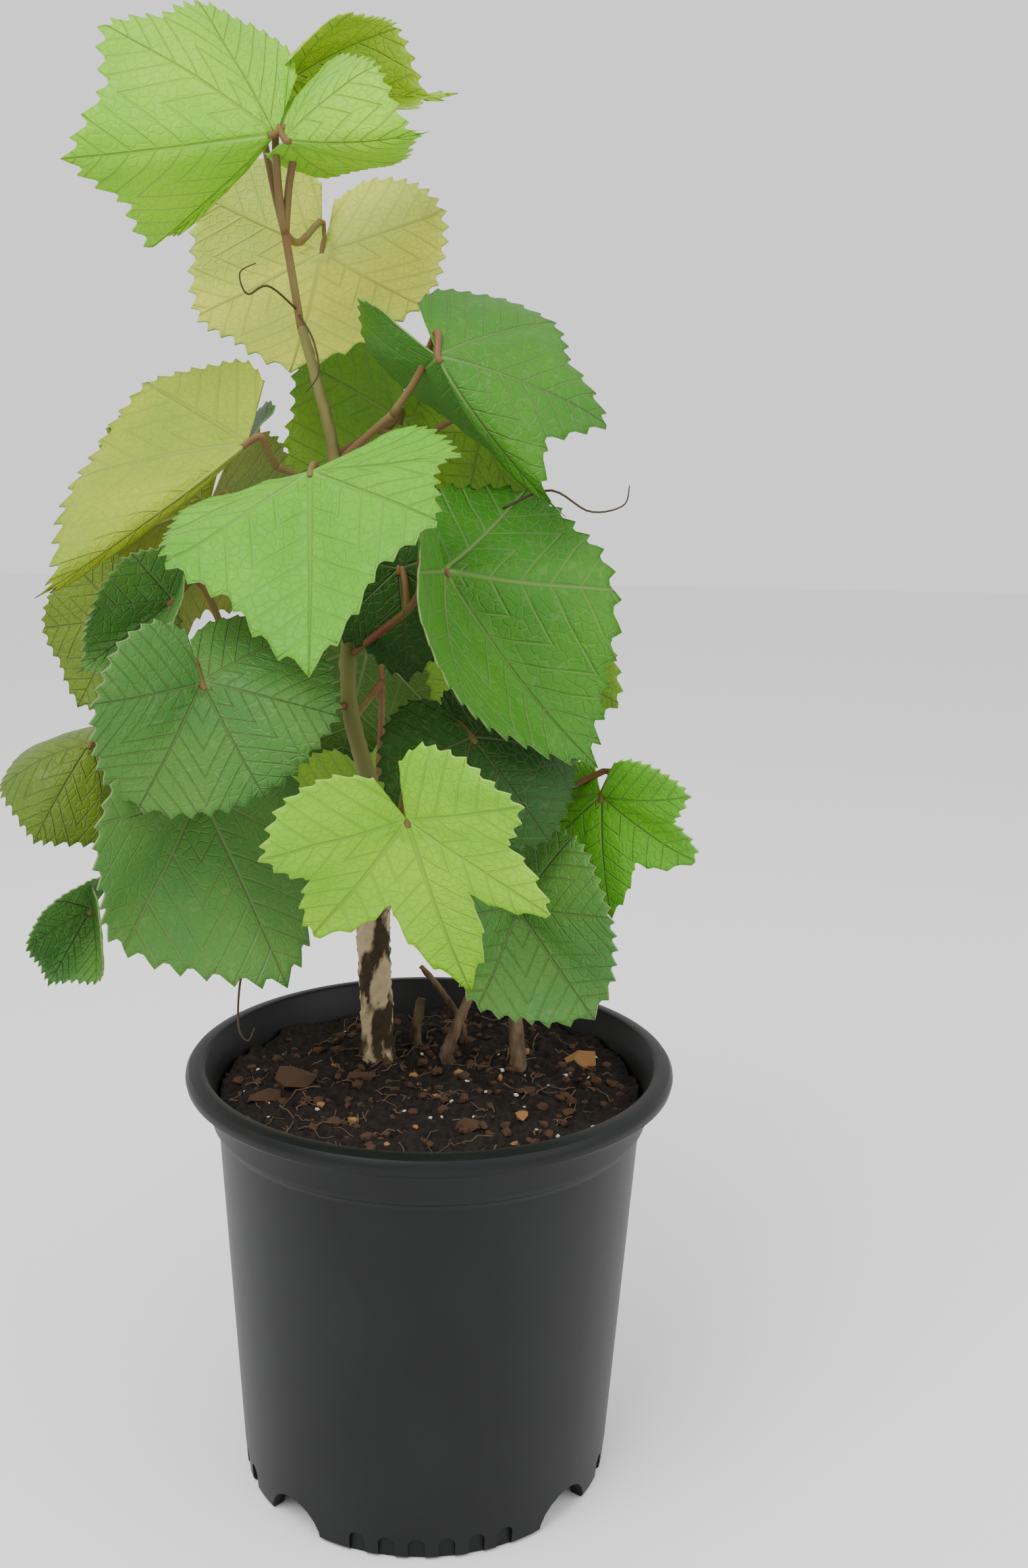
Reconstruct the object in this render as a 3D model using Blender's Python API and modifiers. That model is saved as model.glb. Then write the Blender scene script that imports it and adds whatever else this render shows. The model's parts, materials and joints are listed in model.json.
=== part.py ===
"""Potted grape vine: a nursery pot with its soil, the woody trunk, the green canes that
grow from it, dry stubs, and masses of large toothed leaves on their stalks.

Metres, Z up, front at -Y. Sizes below are in millimetres and degrees, measured from the
middle of the pot's foot. The finished plant is moved so that the origin lies on the floor
under the middle of its whole extent.
"""

import math
import random
from collections import namedtuple

import bmesh
import bpy
from mathutils import Vector

MM = 0.001
GAP = 0.3
MERGE = 0.00002

# Pot: turned shell with a rolled lip, a step under it and a foot ring with arches
POT_HEIGHT = 150.0
RIM_RADIUS = 84.0
LIP_INNER_RADIUS = 77.5
STEP_HEIGHT = 130.0
STEP_RADIUS = 74.4
WALL_TOP_RADIUS = 73.0
BASE_RADIUS = 64.7
WALL = 1.7
FLOOR_UNDERSIDE = 12.5
FLOOR_TOP = 15.0
FOOT_RING = 5.0
POT_SIDES = 44
ARCH_CENTRES = (-43.0, 47.0, 137.0, 227.0)
ARCH_WIDTH = 24.0
ARCH_HEIGHT = 11.0
FLUTE_PITCH = 8.8
FLUTES_IN_GROUP = 6
FLUTE_WIDTH = 5.6
FLUTE_HEIGHT = 8.0
FLUTE_DEPTH = 1.3
FRONT = -90.0

# Soil
SOIL_TOP = 139.2
SOIL_SIDES = 32
SOIL_FOOT = SOIL_TOP + GAP

# Trunk and canes: points along the middle of each limb, and its radii at foot and tip
Limb = namedtuple("Limb", "points foot tip sides")
TRUNK_BASE = (-19.5, 23.0, SOIL_FOOT)
TRUNK_TOP = (-21.5, 22.0, 196.0)
TRUNK_FLARE = 7.4
TRUNK_NECK = 5.7
TRUNK_HEAD = 6.3
TRUNK_SIDES = 14
LIMBS = {
    "lower_cane": Limb(((-20, 22, 196.4), (-19.8, 22, 200), (-17, 20, 211), (-19, 18, 230), (-26, 16, 254),
                        (-29.5, 15, 270), (-30, 15, 284)), 3.6, 2.6, 10),
    "upper_cane": Limb(((-30, 15, 284.4), (-30, 14, 302), (-31.5, 12, 326), (-34, 9.5, 350),
                        (-36, 8, 362)), 2.5, 2.0, 8),
    "shoot_tip": Limb(((-36.1, 8, 362.4), (-40, 7.5, 377), (-44.5, 6.9, 393)), 1.9, 1.6, 8),
}

# Dry stems that stand in the soil beside the trunk
STUBS = {
    "dry_stub_left": Limb(((-6, 36, SOIL_FOOT), (-6, 36, 144), (-4, 39, 156)), 2.4, 1.6, 6),
    "dry_stub_middle": Limb(((6, 20, SOIL_FOOT), (6, 20, 144), (14, 27, 162)), 3.0, 1.6, 6),
    "dry_stub_right": Limb(((31, 14, SOIL_FOOT), (31, 14, 144), (29, 22, 166)), 3.6, 2.2, 6),
    "dry_side_stem": Limb(((12, 40, SOIL_FOOT), (11, 39, 146), (4, 34, 160), (-4, 28, 172)),
                          1.5, 1.0, 6),
}

# Leaf blade: reach of the rim from the stalk, by angle from the midrib, for a midrib of 1
RIM_SHAPE = ((0, 1.00), (26, 0.96), (50, 0.92), (78, 0.86), (104, 0.80), (135, 0.70),
             (158, 0.58), (174, 0.40))
NOTCHES = {26: 0.48, 78: 0.26}
LAST_ANGLE = 174.0
SHOULDER = 50.0
TOOTH_ANGLES = (0, 13, 26, 38, 50, 64, 78, 91, 104, 121, 138, 156, 174)
TOOTH_OUT = 1.02
TOOTH_IN = 0.95
BLADE_ROWS = (0.0, 0.5, 1.0)
BLADE_THICKNESS = 1.2
MID_FOLD_ENDS = 14.0
SIDE_FOLD = (38.0, 66.0)
TURN_STEP = 2.0

# Stalks
STALK_RADIUS = 1.35
STALK_TIP_RADIUS = 1.0
STALK_POINTS = 4
STALK_SIDES_RESOLUTION = 0

Leaf = namedtuple(
    "Leaf",
    "at faces lean length wide lobing fold left right droop ends",
    defaults=(1.0, 0.2, 0.0, 0.0, 0.0, 12.0, (174.0, 174.0)),
)
Mass = namedtuple("Mass", "root hub leaves")

# Masses of foliage. root is where the stem leaves its limb, hub is where its stalks part.
# Each leaf has its stalk's end, the way its upper side faces as (azimuth, elevation), the
# lean of its midrib from plumb, its length, and the folds of its blade.
MASSES = {
    "top_leaves": Mass((-44.6, 6.9, 393.4), (-49, 2, 420), (
        Leaf((-50, -15, 446), (-70, -19), -77, 62, 1.05, 0.35, -80, -14, 7, 14, (125, 56)),
        Leaf((-47, -17, 444), (-130, -39), 78, 45, 0.85, 0.1, -90, 21, -27, 30, (150, 150)),
        Leaf((-50, 27, 470), (-49, 17), 86, 58, 0.75, 0.2, 100, -22, 28, -40, (170, 170)),
        Leaf((-42, 63, 423), (77, -43), -4, 66, 0.85, 0.2, 9, -11, -41, 12),
    )),
    "right_upper_leaves": Mass((-31.5, 8, 352), (-15, -6, 366), (
        Leaf((-1, -24, 383), (-130, -9), 33, 61, 1.03, 0.6, -108, 38, -20, 28, (174, 165)),
    )),
    "left_upper_leaf": Mass((-38.5, 9, 343), (-52, -2, 349), (
        Leaf((-60, -10, 356), (126, 3), 53, 80, 0.8, 0.1, 150, -6, -17, -18, (150, 150)),
    )),
    "centre_leaves": Mass((-33.5, 6, 334), (-36, -20, 343), (
        Leaf((-38, -40, 348), (-108, 39), 15, 73, 0.8, 0.35, 39, -46, -28, -4, (120, 120)),
    )),
    "right_leaves": Mass((-26.4, 12.5, 288), (-10, -6, 304), (
        Leaf((2, -30, 319), (-61, 18), 27, 76, 0.78, 0.15, 48, 23, -55, -27),
        Leaf((-13, 8, 317), (-95, 4), 5, 38, 0.9, 0.3, 20, 10, 10, 12),
    )),
    "left_leaves": Mass((-31.5, 12.5, 270), (-56, -16, 268), (
        Leaf((-67, -66, 288.5), (-98, 17), 31, 37, 1.2, 0.05, 18, 60, -36, 19),
        Leaf((-83, -15, 307), (-104, -9), -54, 40, 0.7, 0.1, 100, -28, 20, -20),
        Leaf((-72, -42, 251), (-54, 25), 15, 65, 0.88, 0.1, -36, 60, -4, 10),
        Leaf((-117, 15, 255), (-72, 38), -35, 39, 1.0, 0.1, -24, -28, -49, 45),
        Leaf((-114, -5, 203), (-84, -5), -30, 30, 0.92, 0.2, 80, 7, 36, -20),
        Leaf((-106, 24, 297), (-110, 10), -30, 36, 0.95, 0.2, 20, 10, 10, 10),
    )),
    "front_leaf": Mass((-16, 14.5, 214), (-11, -40, 216), (
        Leaf((-8, -70, 250), (-107, -13), 13, 63, 0.88, 1.0, 32, 31, 13, 13, (165, 160)),
    )),
    "lower_right_leaves": Mass((-14.5, 20, 236), (10, -4, 246), (
        Leaf((11, -40, 269), (-87, 23), 38, 41, 0.95, 0.05, -20, 20, -24, 22),
        Leaf((54, -20, 247), (-115, 8), 3, 45, 0.92, 0.8, 0, -36, 45, 40, (145, 145)),
        Leaf((27, -30, 212), (-112, 21), 42, 43, 0.9, 0.1, 70, 50, -17, 18),
    )),
    "back_upper_leaves": Mass((-36, 13.5, 352), (-22, 44, 362), (
        Leaf((-14, 60, 366), (80, 25), 10, 58, 0.95, 0.4, 20, 15, 15, 20),
        Leaf((14, 40, 362), (30, 30), -10, 46, 0.95, 0.3, -20, 20, 10, 15),
    )),
    "back_left_leaves": Mass((-35, 16, 300), (-60, 44, 306), (
        Leaf((-84, 72, 334), (135, 25), 15, 62, 0.95, 0.4, 25, 10, 20, 20),
        Leaf((-98, 80, 250), (150, 20), -10, 48, 0.95, 0.3, -20, 20, 10, 20),
    )),
    "back_middle_leaves": Mass((-30, 20.5, 264), (-20, 56, 272), (
        Leaf((-26, 90, 282), (95, 22), 12, 66, 0.95, 0.5, 20, 15, 20, 18),
        Leaf((-26, 90, 218), (105, 20), -15, 48, 0.95, 0.3, 20, 10, 20, 20),
    )),
    "back_right_leaves": Mass((-16, 24, 226), (14, 42, 240), (
        Leaf((26, 66, 284), (70, 25), -12, 54, 0.95, 0.4, 20, 20, 10, 18),
        Leaf((30, 80, 214), (80, 20), 10, 48, 0.95, 0.3, -20, 20, 20, 20),
    )),
}


def lerp(a, b, t):
    """The value a part t of the way from a to b."""
    return a + (b - a) * t


def step_through(table, x):
    """Reads a table of rising (x, value) pairs between its entries."""
    for (x0, y0), (x1, y1) in zip(table, table[1:]):
        if x <= x1:
            return lerp(y0, y1, (x - x0) / (x1 - x0))
    return table[-1][1]


def in_metres(point):
    """A point in millimetres as a vector in metres."""
    return Vector(point) * MM


# Blade geometry

def true_angle(angle, end):
    """Spreads a rim angle so that the rim ends at end instead of LAST_ANGLE."""
    if angle <= SHOULDER:
        return angle
    return SHOULDER + (angle - SHOULDER) * (end - SHOULDER) / (LAST_ANGLE - SHOULDER)


def rim_reach(angle, leaf):
    """Distance from stalk to rim at a rim angle, in millimetres, without teeth."""
    shape = [(a, r - NOTCHES.get(a, 0.0) * leaf.lobing) for a, r in RIM_SHAPE]
    widened = 1.0 + (leaf.wide - 1.0) * min(1.0, angle / SHOULDER)
    return step_through(shape, angle) * leaf.length * widened


def blade_axes(leaf):
    """Midrib direction, right-hand direction and upper normal of a leaf."""
    azimuth, elevation = (math.radians(a) for a in leaf.faces)
    normal = Vector((math.cos(elevation) * math.cos(azimuth),
                     math.cos(elevation) * math.sin(azimuth), math.sin(elevation)))
    plumb = Vector((0.0, 0.0, -1.0))
    down = (plumb - normal * plumb.dot(normal)).normalized()
    across = normal.cross(down)
    lean = math.radians(leaf.lean)
    midrib = down * math.cos(lean) + across * math.sin(lean)
    return midrib, normal.cross(midrib), normal


def fold_rate(angle, leaf, side):
    """Degrees that the blade folds up for each degree of turn from the midrib."""
    rate = 0.0
    if angle < MID_FOLD_ENDS:
        rate += leaf.fold / 2.0 / MID_FOLD_ENDS
    start, end = SIDE_FOLD
    if start < angle < end:
        rate += (leaf.right if side > 0 else leaf.left) / (end - start)
    return rate


def rays(leaf, side, angles):
    """Direction and upper normal of the blade along rays at rising angles on one side."""
    ray, normal = blade_axes(leaf)[0], blade_axes(leaf)[2]
    across = blade_axes(leaf)[1] * side
    found = []
    reached = 0.0
    for angle in angles:
        while reached < angle - 1e-6:
            step = min(TURN_STEP, angle - reached)
            turn = math.radians(step)
            bend = math.radians(fold_rate(reached + step / 2.0, leaf, side) * step)
            ray, across = (ray * math.cos(turn) + across * math.sin(turn),
                           across * math.cos(turn) - ray * math.sin(turn))
            across, normal = (across * math.cos(bend) + normal * math.sin(bend),
                              normal * math.cos(bend) - across * math.sin(bend))
            reached += step
        found.append((ray.copy(), normal.copy()))
    return found


def along_ray(leaf, ray, normal, distance):
    """The point at a distance along a ray of the blade, which droops as an arc."""
    droop = math.radians(leaf.droop)
    if abs(droop) < 1e-4:
        return Vector(leaf.at) + ray * distance
    radius = leaf.length / droop
    turned = distance / radius
    return (Vector(leaf.at) + ray * (radius * math.sin(turned))
            - normal * (radius * (1.0 - math.cos(turned))))


def blade_columns(leaf):
    """Rays across the whole blade from its left end to its right end, with their reach."""
    columns = []
    for side, end in ((-1, leaf.ends[0]), (1, leaf.ends[1])):
        half = []
        angles = [true_angle(a, end) for a in TOOTH_ANGLES]
        for index, (ray, normal) in enumerate(rays(leaf, side, angles)):
            tooth = TOOTH_OUT if index % 2 == 0 else TOOTH_IN
            half.append((ray, normal, rim_reach(TOOTH_ANGLES[index], leaf) * tooth))
        columns += half[::-1] if side < 0 else half[1:]
    return columns


# Objects

def new_object(name, mesh, collection):
    """Links a new object to a collection."""
    made = bpy.data.objects.new(name, mesh)
    collection.objects.link(made)
    return made


def mesh_from_bmesh(name, shape):
    """Moves a bmesh into a new mesh."""
    mesh = bpy.data.meshes.new(name)
    shape.to_mesh(mesh)
    shape.free()
    return mesh


def add_leaf(name, leaf, collection):
    """A thin blade: a grid laid along the leaf's rays and given its thickness."""
    columns = blade_columns(leaf)
    shape = bmesh.new()
    bmesh.ops.create_grid(shape, x_segments=len(columns) - 1, y_segments=len(BLADE_ROWS) - 1,
                          size=1.0)
    for vert in shape.verts:
        column = round((vert.co.x + 1.0) / 2.0 * (len(columns) - 1))
        row = round((vert.co.y + 1.0) / 2.0 * (len(BLADE_ROWS) - 1))
        ray, normal, reach = columns[column]
        vert.co = along_ray(leaf, ray, normal, reach * BLADE_ROWS[row]) * MM
    bmesh.ops.remove_doubles(shape, verts=shape.verts[:], dist=MERGE)
    blade = new_object(name, mesh_from_bmesh(name, shape), collection)
    solid = blade.modifiers.new("Thickness", "SOLIDIFY")
    solid.thickness = BLADE_THICKNESS * MM
    solid.offset = 0.0
    return blade


def bare_mesh(source, name, collection):
    """Replaces an object by a plain mesh object of its evaluated shape."""
    bpy.context.view_layer.update()
    graph = bpy.context.evaluated_depsgraph_get()
    mesh = bpy.data.meshes.new_from_object(source.evaluated_get(graph))
    mesh.name = name
    made = new_object(name, mesh, collection)
    made.matrix_world = source.matrix_world
    bpy.data.objects.remove(source)
    made.name = name
    return made


def weld(target):
    """Welds the loose caps of a mesh made from a curve."""
    shape = bmesh.new()
    shape.from_mesh(target.data)
    bmesh.ops.remove_doubles(shape, verts=shape.verts[:], dist=MERGE)
    bmesh.ops.recalc_face_normals(shape, faces=shape.faces[:])
    shape.to_mesh(target.data)
    shape.free()


def smooth_path(points, count):
    """Points at even steps along a smooth curve through the given points."""
    padded = [points[0]] + list(points) + [points[-1]]
    spans = len(points) - 1
    path = []
    for index in range(count):
        place = index / (count - 1) * spans
        span = min(int(place), spans - 1)
        t = place - span
        a, b, c, d = (Vector(p) for p in padded[span:span + 4])
        path.append(0.5 * (2 * b + (c - a) * t + (2 * a - 5 * b + 4 * c - d) * t * t
                           + (3 * b - a - 3 * c + d) * t * t * t))
    return path


def add_tube(name, path, radii, resolution, collection):
    """A tapering tube along a path, from a curve with a bevel and filled caps."""
    curve = bpy.data.curves.new(name, "CURVE")
    curve.dimensions = "3D"
    curve.bevel_depth = MM
    curve.bevel_resolution = resolution
    curve.use_fill_caps = True
    spline = curve.splines.new("POLY")
    spline.points.add(len(path) - 1)
    for point, place, radius in zip(spline.points, path, radii):
        point.co = (*in_metres(place), 1.0)
        point.radius = radius
    tube = bare_mesh(new_object(name + "_path", curve, collection), name, collection)
    weld(tube)
    return tube


def add_limb(name, limb, collection):
    """One tapering limb along its points."""
    count = 3 * (len(limb.points) - 1) + 1
    path = smooth_path(limb.points, count)
    radii = [lerp(limb.foot, limb.tip, i / (count - 1)) for i in range(count)]
    tube = add_tube(name, path, radii, limb.sides // 2 - 2, collection)
    foot = in_metres(limb.points[0])
    for vert in tube.data.vertices:
        if (vert.co - foot).length < 1.1 * limb.foot * MM:
            vert.co.z = foot.z
    return tube


def stalk_path(start, leaf, chance):
    """The way from a hub to a leaf: a bow that comes in under the blade at its foot."""
    midrib, _, normal = blade_axes(leaf)
    start, end = Vector(start), Vector(leaf.at)
    span = (end - start).length
    sway = Vector([chance.uniform(-0.06, 0.06) for _ in range(3)]) * span
    before = end - midrib * min(8.0, span * 0.3) - normal * min(6.0, span * 0.2)
    middle = start.lerp(before, 0.55) + sway - Vector((0.0, 0.0, 0.08 * span))
    sunk = end + midrib * 2.0
    return smooth_path((start, middle, before, end, sunk), STALK_POINTS + 2)


def union_of(name, base, others, collection):
    """Joins a collection of solids to a base solid, as one closed body."""
    for solver in ("MANIFOLD", "EXACT"):
        join = base.modifiers.new("Join", "BOOLEAN")
        join.operation = "UNION"
        join.operand_type = "COLLECTION"
        join.collection = others
        join.solver = solver
        bpy.context.view_layer.update()
        graph = bpy.context.evaluated_depsgraph_get()
        mesh = bpy.data.meshes.new_from_object(base.evaluated_get(graph))
        base.modifiers.remove(join)
        shape = bmesh.new()
        shape.from_mesh(mesh)
        keep_largest_piece(shape)
        closed = all(len(edge.link_faces) == 2 for edge in shape.edges)
        if closed or solver == "EXACT":
            break
        shape.free()
    shape.to_mesh(mesh)
    shape.free()
    mesh.name = name
    bpy.data.objects.remove(base)
    for other in list(others.objects):
        bpy.data.objects.remove(other)
    return new_object(name, mesh, collection)


def keep_largest_piece(shape):
    """Drops loose scraps, so that the largest connected piece is left."""
    shape.verts.ensure_lookup_table()
    unseen = set(shape.verts)
    pieces = []
    while unseen:
        piece = set()
        edge_of_piece = [unseen.pop()]
        while edge_of_piece:
            vert = edge_of_piece.pop()
            piece.add(vert)
            for edge in vert.link_edges:
                other = edge.other_vert(vert)
                if other in unseen:
                    unseen.discard(other)
                    edge_of_piece.append(other)
        pieces.append(piece)
    pieces.sort(key=len)
    for piece in pieces[:-1]:
        bmesh.ops.delete(shape, geom=list(piece), context="VERTS")


def add_mass(name, mass, parts, scratch):
    """One mass of foliage: stem, stalks and leaves joined into one solid."""
    chance = random.Random(name)
    path = smooth_path((mass.root, Vector(mass.root).lerp(Vector(mass.hub), 0.5), mass.hub), 5)
    stem = add_tube(name + "_stem", path, [STALK_RADIUS] * 5, STALK_SIDES_RESOLUTION, parts)
    for index, leaf in enumerate(mass.leaves):
        stalk = stalk_path(mass.hub, leaf, chance)
        radii = [lerp(STALK_RADIUS, STALK_TIP_RADIUS, i / (len(stalk) - 1))
                 for i in range(len(stalk))]
        add_tube(f"{name}_stalk_{index}", stalk, radii, STALK_SIDES_RESOLUTION, scratch)
        add_leaf(f"{name}_leaf_{index}", leaf, scratch)
    return union_of(name, stem, scratch, parts)


# Pot, soil and trunk

def pot_profile():
    """The pot's section from the floor's top, over the lip and down to the foot ring."""
    inner_foot = lerp(BASE_RADIUS, WALL_TOP_RADIUS, FLOOR_TOP / STEP_HEIGHT) - WALL
    inner_top = WALL_TOP_RADIUS - WALL
    lip = POT_HEIGHT
    return (
        (0.0, FLOOR_TOP), (inner_foot, FLOOR_TOP), (inner_top, STEP_HEIGHT - 2.0),
        (STEP_RADIUS - WALL, STEP_HEIGHT + 2.0), (STEP_RADIUS, lip - 6.8),
        (STEP_RADIUS + 1.0, lip - 5.5), (LIP_INNER_RADIUS - 0.3, lip - 0.6),
        (LIP_INNER_RADIUS + 1.2, lip), (RIM_RADIUS - 2.6, lip - 0.3), (RIM_RADIUS, lip - 2.6),
        (RIM_RADIUS - 0.2, lip - 5.4), (RIM_RADIUS - 2.0, lip - 6.6),
        (STEP_RADIUS + 3.6, lip - 6.2), (STEP_RADIUS + 2.2, lip - 8.4),
        (STEP_RADIUS + 1.4, STEP_HEIGHT + 3.0), (STEP_RADIUS - 0.2, STEP_HEIGHT + 0.4),
        (WALL_TOP_RADIUS, STEP_HEIGHT - 1.4), (BASE_RADIUS + 0.8, 9.0), (BASE_RADIUS, 0.8),
        (BASE_RADIUS - 0.8, 0.0), (BASE_RADIUS - FOOT_RING, 0.0),
        (BASE_RADIUS - FOOT_RING - 1.0, FLOOR_UNDERSIDE), (0.0, FLOOR_UNDERSIDE),
    )


def turned(name, profile, sides, collection):
    """A solid of revolution from a profile that starts and ends on the axis."""
    shape = bmesh.new()
    verts = [shape.verts.new((r * MM, 0.0, z * MM)) for r, z in profile]
    for a, b in zip(verts, verts[1:]):
        shape.edges.new((a, b))
    made = new_object(name, mesh_from_bmesh(name, shape), collection)
    screw = made.modifiers.new("Turn", "SCREW")
    screw.steps = sides
    screw.render_steps = sides
    screw.use_merge_vertices = True
    screw.merge_threshold = 0.00001
    return made


def add_capsule(name, angle, width, height, depth_from, depth_to, segments, collection):
    """A cutter with a round top: an arch or a flute that runs along one radius."""
    shape = bmesh.new()
    bmesh.ops.create_circle(shape, cap_ends=True, segments=segments, radius=width / 2.0)
    for vert in shape.verts:
        if vert.co.y < 0.0:
            vert.co.y = -height
    bmesh.ops.translate(shape, verts=shape.verts[:], vec=(0.0, height - width / 2.0, 0.0))
    drawn = bmesh.ops.extrude_face_region(shape, geom=shape.faces[:])
    pulled = [item for item in drawn["geom"] if isinstance(item, bmesh.types.BMVert)]
    bmesh.ops.translate(shape, verts=pulled, vec=(0.0, 0.0, depth_to - depth_from))
    shape.normal_update()
    bmesh.ops.recalc_face_normals(shape, faces=shape.faces[:])
    turn = math.radians(angle)
    outward = Vector((math.cos(turn), math.sin(turn), 0.0))
    sideways = Vector((-math.sin(turn), math.cos(turn), 0.0))
    for vert in shape.verts:
        across, up, out = vert.co
        vert.co = (sideways * across + outward * (out + depth_from)
                   + Vector((0.0, 0.0, up))) * MM
    return new_object(name, mesh_from_bmesh(name, shape), collection)


def add_pot(parts, cutters):
    """The pot's shell, with arches through its foot ring and flutes in its foot."""
    pot = turned("pot", pot_profile(), POT_SIDES, parts)
    for number, centre in enumerate(ARCH_CENTRES):
        add_capsule(f"arch_{number}", FRONT + centre, ARCH_WIDTH, ARCH_HEIGHT,
                    BASE_RADIUS - 2.5 * FOOT_RING, BASE_RADIUS + 6.0, 10, cutters)
        first = centre - 45.0 - (FLUTES_IN_GROUP - 1) / 2.0 * FLUTE_PITCH
        for place in range(FLUTES_IN_GROUP):
            add_capsule(f"flute_{number}_{place}", FRONT + first + place * FLUTE_PITCH,
                        FLUTE_WIDTH, FLUTE_HEIGHT, BASE_RADIUS - FLUTE_DEPTH,
                        BASE_RADIUS + 6.0, 6, cutters)
    cut = pot.modifiers.new("Foot", "BOOLEAN")
    cut.operation = "DIFFERENCE"
    cut.operand_type = "COLLECTION"
    cut.collection = cutters
    cut.solver = "EXACT"
    for cutter in cutters.objects:
        cutter.hide_render = True
        cutter.display_type = "WIRE"
    return pot


def add_soil(parts):
    """The soil that fills the pot, with a flat top and a clear gap to the pot all round."""
    foot = lerp(BASE_RADIUS, WALL_TOP_RADIUS, FLOOR_TOP / STEP_HEIGHT) - WALL - GAP
    side = WALL_TOP_RADIUS - WALL - GAP
    profile = ((0.0, SOIL_TOP), (STEP_RADIUS - WALL - 3.0, SOIL_TOP),
               (STEP_RADIUS - WALL - GAP, SOIL_TOP - 2.5),
               (STEP_RADIUS - WALL - GAP, STEP_HEIGHT + 2.3), (side, STEP_HEIGHT - 2.2),
               (foot, FLOOR_TOP + GAP), (0.0, FLOOR_TOP + GAP))
    return turned("soil", profile, SOIL_SIDES, parts)


def add_trunk(parts):
    """The old woody trunk: flared foot, straight shaft and a flat cut head."""
    base, top = Vector(TRUNK_BASE), Vector(TRUNK_TOP)
    heights = (0.0, 0.05, 0.16, 0.5, 0.85, 1.0)
    radii = (TRUNK_FLARE, TRUNK_FLARE - 0.9, TRUNK_NECK, TRUNK_NECK + 0.2, TRUNK_HEAD,
             TRUNK_HEAD - 0.5)
    shape = bmesh.new()
    bmesh.ops.create_cone(shape, cap_ends=True, segments=TRUNK_SIDES, radius1=1.0, radius2=1.0,
                          depth=1.0)
    sides = [edge for edge in shape.edges if abs(edge.verts[0].co.z - edge.verts[1].co.z) > 0.5]
    bmesh.ops.subdivide_edges(shape, edges=sides, cuts=len(heights) - 2)
    for vert in shape.verts:
        ring = round((vert.co.z + 0.5) * (len(heights) - 1))
        middle = base.lerp(top, heights[ring])
        vert.co = (Vector((vert.co.x * radii[ring], vert.co.y * radii[ring], 0.0)) + middle) * MM
    return new_object("trunk", mesh_from_bmesh("trunk", shape), parts)


# Materials

MATERIALS = {
    "pot_plastic": ((0.025, 0.027, 0.03), 0.45),
    "potting_soil": ((0.035, 0.024, 0.017), 0.95),
    "bark": ((0.42, 0.33, 0.2), 0.85),
    "green_cane": ((0.2, 0.22, 0.07), 0.6),
    "dry_wood": ((0.25, 0.19, 0.12), 0.9),
    "leaf_green": ((0.13, 0.3, 0.06), 0.55),
}


def material_named(name):
    """A plain material with the given colour and roughness."""
    found = bpy.data.materials.get(name)
    if found:
        return found
    colour, roughness = MATERIALS[name]
    made = bpy.data.materials.new(name)
    made.use_nodes = True
    shader = made.node_tree.nodes["Principled BSDF"]
    shader.inputs["Base Color"].default_value = (*colour, 1.0)
    shader.inputs["Roughness"].default_value = roughness
    shader.inputs["Metallic"].default_value = 0.0
    return made


def paint(target, name):
    """Gives an object one material."""
    target.data.materials.clear()
    target.data.materials.append(material_named(name))


def new_collection(name):
    """A collection linked to the scene."""
    made = bpy.data.collections.new(name)
    bpy.context.scene.collection.children.link(made)
    return made


def put_origin_under_middle(collections):
    """Moves everything so that the origin lies under the middle of the whole plant."""
    bpy.context.view_layer.update()
    corners = [target.matrix_world @ Vector(corner)
               for target in collections[0].objects for corner in target.bound_box]
    low = Vector([min(corner[axis] for corner in corners) for axis in range(3)])
    high = Vector([max(corner[axis] for corner in corners) for axis in range(3)])
    plant = bpy.data.objects.new("plant_place", None)
    collections[0].objects.link(plant)
    for collection in collections:
        for target in collection.objects:
            if target is not plant:
                target.parent = plant
    plant.location = (-(low.x + high.x) / 2.0, -(low.y + high.y) / 2.0, 0.0)


def main():
    """Builds the whole plant in its pot."""
    for old in list(bpy.data.objects):
        bpy.data.objects.remove(old)
    parts = new_collection("Potted grape vine")
    cutters = new_collection("Cutters")
    scratch = new_collection("Joining")
    paint(add_trunk(parts), "bark")
    for name, limb in LIMBS.items():
        paint(add_limb(name, limb, parts), "green_cane")
    for name, limb in STUBS.items():
        paint(add_limb(name, limb, parts), "dry_wood")
    for name, mass in MASSES.items():
        paint(add_mass(name, mass, parts, scratch), "leaf_green")
    bpy.data.collections.remove(scratch)
    paint(add_soil(parts), "potting_soil")
    paint(add_pot(parts, cutters), "pot_plastic")
    put_origin_under_middle((parts, cutters))


if __name__ == "__main__":
    main()
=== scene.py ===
"""Looks of the potted grape vine: bark, canes, veined leaves, soil and nursery pot, built
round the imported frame. Lengths are in millimetres from the middle of the pot's foot.
"""

import json
import math
import random
from collections import namedtuple

import bmesh
import bpy
from bpy.props import FloatProperty, IntProperty, PointerProperty
from mathutils import Matrix, Vector, noise

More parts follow.
